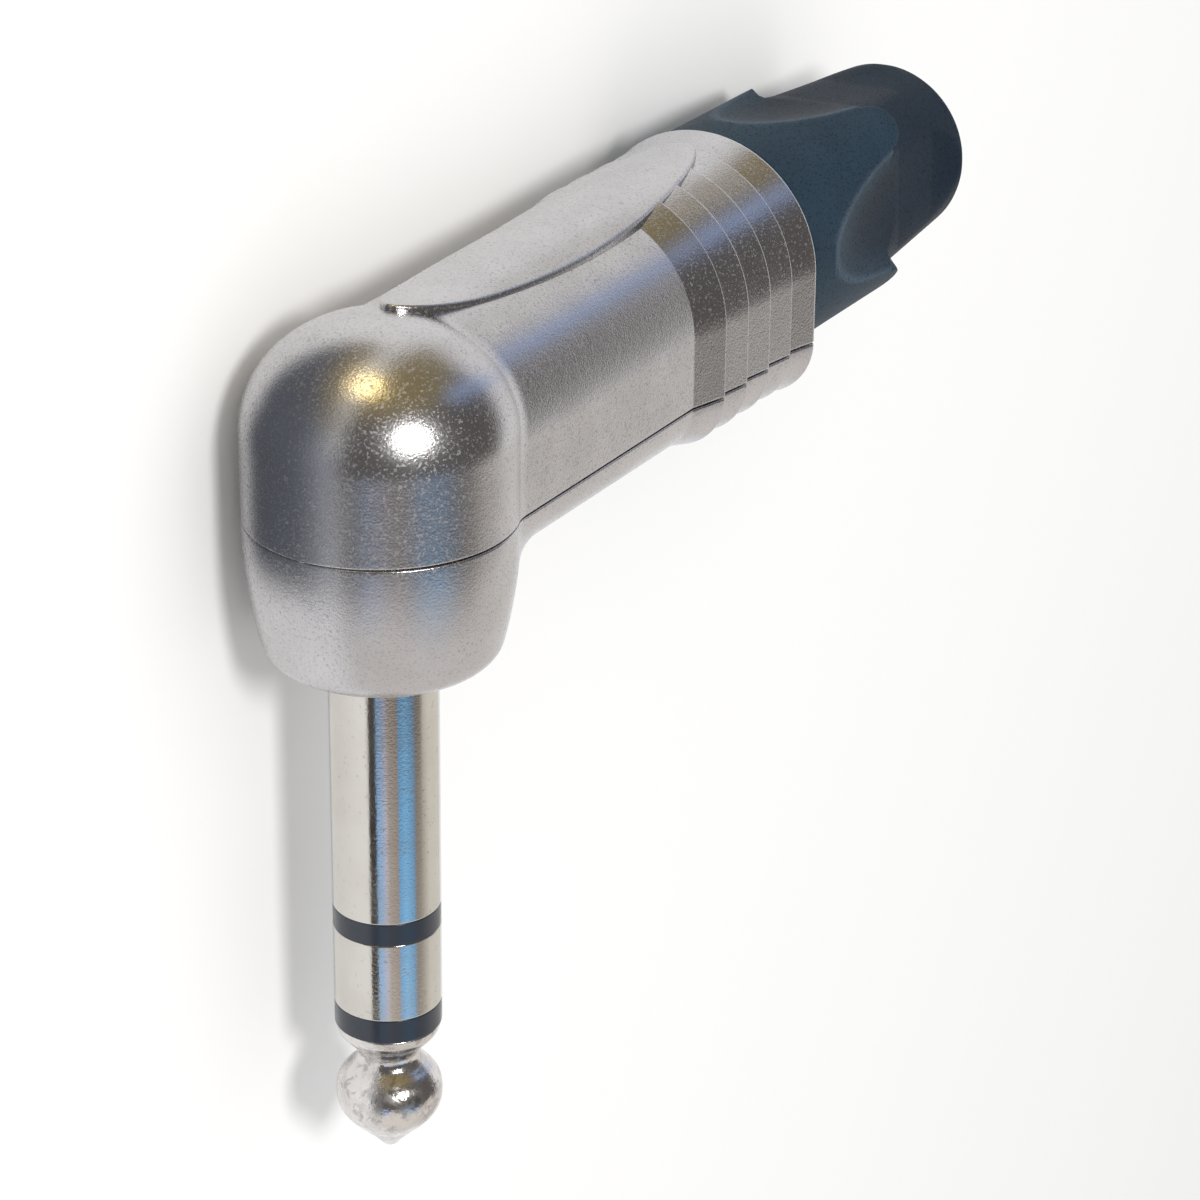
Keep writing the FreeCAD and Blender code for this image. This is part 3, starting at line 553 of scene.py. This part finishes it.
def oval_ring(scale, shrink, sink):
    """Points round the oval's plan, scaled from its middle and moved inwards,
    laid on the cone about the barrel's axis, lifted at its end on the dome
    and lowered by sink."""
    cone_r, cone_slope = 7.38, 0.6 / 35.7
    crown, flat_from, flat_over = 0.34, 17.0, 12.0
    highest_lift, lift_over = 0.38, 6.0
    turn = np.linspace(0, 2 * np.pi, 181)
    x = PAD_MIDDLE + (PAD_LENGTH / 2 - shrink) * scale * np.cos(turn)
    z = (PAD_WIDTH / 2 - shrink) * scale * np.sin(turn)
    past_start = x - (PAD_MIDDLE - PAD_LENGTH / 2)
    radius = cone_r + past_start * cone_slope
    fall = crown * (z / (PAD_WIDTH / 2)) ** 2 * (1 - np.clip((x - flat_from) / flat_over, 0, 1))
    lift = highest_lift * np.clip(1 - past_start / lift_over, 0, 1) ** 1.5
    return np.stack([x, AXIS + np.sqrt(radius**2 - z**2) - fall + lift - sink, z], -1)


rim_turn = np.linspace(0, np.pi / 2, 7)[1:]
face = [oval_ring(scale, PAD_ROUND, 0.0) for scale in spaced(0, (0.9, 24), (1.0, 8))]
face += [oval_ring(1.0, shrink, sink) for shrink, sink in
         zip(PAD_ROUND * (1 - np.sin(rim_turn)), PAD_ROUND * (1 - np.cos(rim_turn)))]
face += [oval_ring(1.0, 0.0, sink) for sink in (0.3, 0.6, 1.0)]
oval = skin("oval_pad", [np.array(face)])

shell = Finish("satin_nickel", Metallic=1.0)
grain = shell.noise(0.13, 3, 0.6)
cloud = shell.noise(2.6, 2, 0.5).ramp(0.3, 0.7)
speck = shell.noise(0.17, 2, 0.7).ramp(0.55, 0.66)
pit = shell.noise(0.15, 2, 0.6).ramp(0.60, 0.70)
shell.give(Roughness=cloud * 0.03 + grain * 0.06 + speck * 0.30 + 0.19,
           Base_Color=shell.mix(cloud * 0.15 + pit * 0.30, (0.56, 0.55, 0.565, 1), (0.36, 0.35, 0.36, 1)))
shell.bump(grain + shell.noise(0.5, 2) * 0.4, 0.015)
shell.put_on(upper, lower, oval)
for piece, nodes in ((upper, ["upper_shell"]), (lower, ["lower_shell"]), (oval, [])):
    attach(piece, "housing")
    if nodes:
        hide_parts(*nodes)


# Boot: soft slate-grey plastic moulded on the gland nut. Its rim runs out in
# four petals between long scoops, over a tapered tail for the cable.
BOOT_START, BOOT_END, BOOT_R = 36.9, 61.9, 7.7
FRONT_ROUND, END_ROUND = 0.15, 0.7
PETALS_END = 49.7


def boot_forms(x, angle):
    """The forms that the boot is cut from: the body, a straight foot lowered
    to the tail's cone outside the petals' rounded ends, the scoops, whose
    floor is a long arc, and how far past a petal's end each point is, 0 to 1."""
    tail_r, taper = 5.85, 0.75 / 9.2
    petal_turn, petal_nose, petal_half = np.radians(43), 2.35, 1.85
    petal_edge, petal_fade, nowhere = 0.90, 0.15, 99
    scoop_r, floor_r, floor_arc, floor_x = 12, 5.6, 66.0, 56.3
    rise_x, rise_height = 57.5, 0.3
    tail = tail_r + (BOOT_END - x) * taper
    to_petal = (angle - petal_turn + np.pi / 4) % (np.pi / 2) - np.pi / 4
    across = np.abs(to_petal) * BOOT_R
    beyond = np.hypot(np.maximum(x - PETALS_END, 0) / petal_nose, across / petal_half)
    past = np.clip((np.where(x > PETALS_END, beyond, 0) - petal_edge) / petal_fade, 0, 1)
    past = past * past * (3 - 2 * past)
    rise = rise_height * (np.maximum(x - rise_x, 0) / (BOOT_END - rise_x)) ** 2
    floor = floor_r + floor_arc - np.sqrt(floor_arc**2 - (x - floor_x) ** 2) + rise
    centre = floor + scoop_r
    from_scoop = np.pi / 4 - np.abs(to_petal)
    root = scoop_r**2 - (centre * np.sin(from_scoop)) ** 2
    scoop = np.where(root > 0, centre * np.cos(from_scoop) - np.sqrt(np.maximum(root, 0)), nowhere)
    return BOOT_R + (tail - BOOT_R) * past, scoop, past


def boot_radius(x, angle):
    """The lower of body and scoop, blended over a width that is narrow at the
    petals' edges and wide along the tail."""
    narrow, widening, widens_over, narrows_over, narrow_from = 0.09, 1.2, 2.5, 4.0, 61.5
    body, scoop, past = boot_forms(x, angle)
    wide = np.clip((x - PETALS_END) / widens_over, 0, 1) * np.clip((narrow_from - x) / narrows_over, 0, 1)
    width = narrow + widening * past * wide
    share = np.clip((scoop - body) / width, -1, 1)
    return np.minimum(scoop, body) - width / 4 * (1 - np.abs(share)) ** 2


def about_axis(x, radius, angle):
    """Points at a radius about the barrel's axis: rows by angles by x, y, z."""
    return np.stack([x + 0 * angle, AXIS + radius * np.cos(angle), radius * np.sin(angle)], -1)


angle = np.linspace(0, 2 * np.pi, 385)
length = spaced(BOOT_START, (39.0, 14), (49.0, 84), (53.6, 66), (BOOT_END - END_ROUND, 34))[1:, None]
front_turn = np.linspace(np.pi / 2, 0, 6)[1:, None]
front_r = boot_radius(np.array([[BOOT_START + 0.05]]), angle) - FRONT_ROUND * (1 - np.cos(front_turn))
end_turn = np.linspace(0, np.pi / 2, 9)[1:, None]
end_r = boot_radius(length[-1:], angle) - END_ROUND * (1 - np.cos(end_turn))
hollow = np.array([(BOOT_END, 3.75), (61.86, 3.66), (61.75, 3.6), (48.0, 3.6), (48.0, 4.7), (39.0, 4.7),
                   (39.0, 6.6), (BOOT_START, 6.6)])
boot = skin("soft_boot", [np.concatenate([
    about_axis(hollow[-1:, :1], hollow[-1:, 1:], angle),
    about_axis(BOOT_START + FRONT_ROUND * (1 - np.sin(front_turn)), front_r, angle),
    about_axis(length, boot_radius(length, angle), angle),
    about_axis(BOOT_END - END_ROUND * (1 - np.sin(end_turn)), end_r, angle),
    about_axis(hollow[:, :1], hollow[:, 1:], angle)])])

# A highlight is painted along the petals' edges and round their ends: 1 on a line
# along the edges, fading within a fifth of a millimetre, kept with the mesh.
place = np.empty(len(boot.data.vertices) * 3, np.float32)
boot.data.vertices.foreach_get("co", place)
x, y, z = place.reshape(-1, 3).T.astype(float) / MM
body, scoop, past = boot_forms(x, np.arctan2(z, y - AXIS))
highlight_width, inside_r, highlight_from = 0.16, 6.3, 39.5
along_edge = np.exp(-((scoop - body) / highlight_width) ** 2) * (1 - past)
round_nose = 2.4 * past * (1 - past) * (scoop > 7.5)
edge_highlight = (along_edge + round_nose) * (np.hypot(y - AXIS, z) > inside_r) * (x > highlight_from)
painted_edge_highlight = boot.data.attributes.new("painted_edge_highlight", "FLOAT", "POINT")
painted_edge_highlight.data.foreach_set("value", np.clip(edge_highlight, 0, 1))

rubber = Finish("slate_soft_plastic", Specular_IOR_Level=0.09)
grain = rubber.noise(0.16, 3, 0.65)
dark = grain.ramp(0.50, 0.68)
cloud = rubber.noise(3.0, 2).ramp(0.3, 0.7)
_, across, height = rubber.place_mm()
out_squared = rubber.maths("POWER", across - AXIS, 2.0) + rubber.maths("POWER", height, 2.0)
# Painted shade: the scoops between the petals get a darker slate than the petals that stand out of them.
outside_scoop_shade = rubber.maths("SQRT", out_squared).ramp(6.3, 7.5)
slate = rubber.mix(outside_scoop_shade, (0.007, 0.018, 0.034, 1), (0.018, 0.040, 0.063, 1))
edge_highlight = Mask(rubber, rubber.node("Attribute", {"attribute_name": "painted_edge_highlight"}).outputs["Fac"])
# Painted highlight: the petals' edges are given a paler slate.
slate = rubber.mix(edge_highlight * 0.55, slate, (0.075, 0.115, 0.16, 1))
rubber.give(Base_Color=rubber.mix(dark * 0.6 + cloud * 0.15, slate, (0.004, 0.008, 0.015, 1)),
            Roughness=dark * 0.15 + 0.50)
rubber.bump(grain, 0.02, 0.6)
rubber.put_on(boot)
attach(boot, "boot")
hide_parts("boot")


# Gland nut under the boot: hard moulded plastic with a thread of 1 mm pitch,
# a collar that the boot sits on and a grooved skirt that it is moulded over.
def thread_depth(x, angle):
    """Depth of the groove between the thread's turns: a V with its bottom
    halfway between crests, which climbs by the pitch along x in each turn
    about +X and runs out at each end."""
    pitch, depth, half_width = 1.0, 0.36, 0.40
    start, end, run_out = 28.6, 36.2, 0.5
    phase = (x / pitch - angle / (2 * np.pi)) % 1.0
    groove = np.clip(1 - np.abs(phase - 0.5) / half_width, 0, 1)
    ends = np.clip((x - start) / run_out, 0, 1) * np.clip((end - x) / run_out, 0, 1)
    return depth * groove * ends


crest_r, neck_r, collar_r, skirt_r, groove_r = 6.15, 5.8, 6.6, 4.7, 4.3
mouth_r, cone_r, bore_r = 4.86, 4.25, 3.9
thread_side = crest_r - 0.2
corners = [(28.5, mouth_r, 0.05), (28.5, crest_r, 0.15), (36.25, crest_r, 0.08), (36.25, neck_r, 0),
           (36.9, neck_r, 0), (36.9, collar_r, 0.05), (39.0, collar_r, 0.05), (39.0, skirt_r, 0)]
for start, end in ((41.2, 42.4), (44.6, 45.8)):
    corners += [(start, skirt_r, 0.05), (start, groove_r, 0), (end, groove_r, 0), (end, skirt_r, 0.05)]
corners += [(48.0, skirt_r, 0.05), (48.0, bore_r, 0.05), (34.6, bore_r, 0.05), (34.6, cone_r, 0)]
outline = filled(softened(corners, 3), 0.1)
angle = np.linspace(0, 2 * np.pi, 121)
along, out = outline[:, :1], outline[:, 1:]
out = out - np.where(out > thread_side, thread_depth(along, angle), 0)
nut = skin("gland_nut_threaded", [about_axis(along, out, angle)])
plastic = Finish("hard_plastic", Base_Color=(0.02, 0.022, 0.026, 1))
plastic.give(Roughness=plastic.noise(0.6, 3).ramp(0.3, 0.7) * 0.15 + 0.33)
plastic.bump(plastic.noise(0.2, 2), 0.004)
plastic.put_on(nut)
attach(nut, "boot")
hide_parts("gland_nut")

# Cable chuck: a keyed and slotted tube of natural plastic with inner teeth,
# whose jaws the nut's cone closes on the cable.
natural = Finish("natural_plastic")
cloud = natural.noise(1.5, 3).ramp(0.3, 0.7)
natural.give(Roughness=natural.noise(0.6, 3).ramp(0.3, 0.7) * 0.15 + 0.38,
             Base_Color=natural.mix(cloud * 0.4, (0.72, 0.70, 0.64, 1), (0.62, 0.60, 0.53, 1)))
natural.bump(natural.noise(0.2, 2), 0.004)
natural.put_on(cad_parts["cable_chuck"])

# Parts inside the elbow: stamped and tinned tags, a black holder and washer
# that keep them apart, and the thin liner under the dome.
tinned = Finish("tinned_brass", Base_Color=(0.70, 0.68, 0.62, 1), Metallic=1.0)
tinned.give(Roughness=tinned.noise(0.5, 3).ramp(0.3, 0.7) * 0.2 + 0.2)
for node in ("sleeve_tag", "ring_tag", "tip_tag"):
    tinned.put_on(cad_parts[node])
plastic.put_on(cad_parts["contact_holder"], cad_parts["tag_washer"])
liner = Finish("liner_plastic", Base_Color=(0.45, 0.46, 0.48, 1))
liner.give(Roughness=liner.noise(0.6, 3).ramp(0.3, 0.7) * 0.15 + 0.38)
liner.put_on(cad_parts["insulating_liner"])


# Floor: a plain pale sheet that the plug lies on. It carries the light up to
# the plug's underside.
def sheet(name, west, east, south, north, height):
    """A flat sheet between four sides, in metres."""
    mesh = bpy.data.meshes.new(name)
    mesh.from_pydata([(west, south, height), (east, south, height), (east, north, height),
                      (west, north, height)], [], [(0, 1, 2, 3)])
    made = bpy.data.objects.new(name, mesh)
    scene.collection.objects.link(made)
    return made


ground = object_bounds()[0].z
floor = sheet("floor", -3, 3, -3, 3, ground)
paper = Finish("pale_paper", Base_Color=(0.92, 0.92, 0.92, 1), Roughness=0.9, Specular_IOR_Level=0.1)
paper.put_on(floor)

# Grey card: a soft-edged sheet beside the elbow, as a studio lays down to give
# bright metal something dark to mirror. Only reflections see it.
card = sheet("grey_card", -0.3, 0.03, -0.2, 0.075, ground + 0.0003)
card.visible_camera = card.visible_diffuse = card.visible_shadow = card.visible_transmission = False
felt = Finish("grey_card", Roughness=1.0, Specular_IOR_Level=0.0)
x, y, _ = felt.place_mm()
near_side = 1 - (x - felt.maths("MAXIMUM", y * 0.5 - 8.5, 0.0)).ramp(-7.5, -4.5)
below = (y - x * 0.54 - 8.3).ramp(-1.5, 2.5)
opening = (1 - x.ramp(-120, -70)) * y.ramp(10, 35)
shade = felt.mix(x.ramp(-45, -14), (0.30, 0.32, 0.36, 1), (0.12, 0.13, 0.155, 1))
felt.give(Base_Color=felt.mix(y.ramp(24, 50), shade, (0.24, 0.20, 0.12, 1)),
          Alpha=near_side * below * (1 - opening))
felt.put_on(card)

# Light: a studio with a pale backdrop and a dark ceiling, a cool window strip
# on each side, a round key lamp above the finger's left and a warm reflector
# card near the dome. Seen directly, the backdrop is plain and pale.
room = bpy.data.worlds.new("studio")
scene.world = room
room.use_nodes = True
studio = Nodes(room.node_tree)
split = studio.node("SeparateXYZ", {}, Vector=studio.node("TexCoord", {}).outputs["Generated"])
x, y, z = (Mask(studio, socket) for socket in split.outputs)
turn_finger = studio.maths("ARCTAN2", z, x * -1.0) * (180 / np.pi)
turn_barrel = studio.maths("ARCTAN2", z, y) * (180 / np.pi)
ceiling = (x * -0.5 + y * 0.2 + z * 0.84).ramp(-0.04, 0.07)
colour = studio.mix(ceiling, (0.98, 0.96, 0.95, 1), (0.125, 0.115, 0.108, 1))
window = turn_barrel.within(39, 48, 4) * x.ramp(0.2, 0.4)
colour = studio.mix(window, colour, (0.40, 0.54, 0.86, 1))
warm_wall = y.ramp(0.62, 0.80) * z.ramp(-0.1, 0.1)
colour = studio.mix(warm_wall, colour, (0.30, 0.24, 0.12, 1))
strips = studio.node("ValToRGB", {"stops": [
    (0.0, (0.035, 0.028, 0.025, 1)), (0.075, (0.035, 0.028, 0.025, 1)), (0.090, (0.36, 0.70, 1.15, 1)),
    (0.150, (0.52, 0.74, 1.15, 1)), (0.190, (0.78, 0.76, 0.92, 1)), (0.230, (0.60, 0.54, 0.50, 1)),
    (0.330, (0.50, 0.42, 0.36, 1)), (0.345, (0.20, 0.58, 1.10, 1)), (0.420, (0.30, 0.74, 1.25, 1)),
    (0.520, (0.22, 0.52, 0.90, 1)), (0.560, (0.36, 0.30, 0.26, 1)), (0.620, (0.45, 0.41, 0.36, 1)),
    (0.760, (0.85, 0.82, 0.76, 1))]}, Fac=turn_finger * (1 / 180))
toward_tip = 1 - (y - x.ramp(0.3, 0.6) * 0.11).ramp(-0.475, -0.43)
colour = studio.mix(toward_tip, colour, (0.86, 0.82, 0.77, 1))
colour = studio.mix(y.within(-0.525, -0.452, 0.022), colour, strips.outputs[0])
rays = studio.node("LightPath", {}).outputs
colour = studio.mix(rays["Is Diffuse Ray"], colour, (0.74, 0.74, 0.74, 1))
studio.feed(room.node_tree.nodes["Background"].inputs["Color"],
            studio.mix(rays["Is Camera Ray"], colour, (0.95, 0.95, 0.95, 1)))


def disc_lamp(name, place, aim, radius, watts, tint):
    """A round lamp at a place, turned to its aim, all in metres."""
    lamp = bpy.data.lights.new(name, "AREA")
    lamp.shape = "DISK"
    lamp.size = radius * 2
    lamp.energy = watts
    lamp.color = tint
    lit = bpy.data.objects.new(name, lamp)
    scene.collection.objects.link(lit)
    lit.location = place
    lit.rotation_mode = "QUATERNION"
    lit.rotation_quaternion = (Vector(aim) - Vector(place)).to_track_quat("-Z", "Y")
    lit.visible_camera = False


disc_lamp("key_lamp", (-0.275, 0.226, 0.497), (-0.005, 0.016, 0.005),
          radius=0.07, watts=2.0, tint=(1.0, 0.99, 0.97))
disc_lamp("warm_card", (-0.020, 0.080, 0.002), (-0.005, 0.019, 0.002),
          radius=0.009, watts=0.0050, tint=(1.0, 0.75, 0.28))
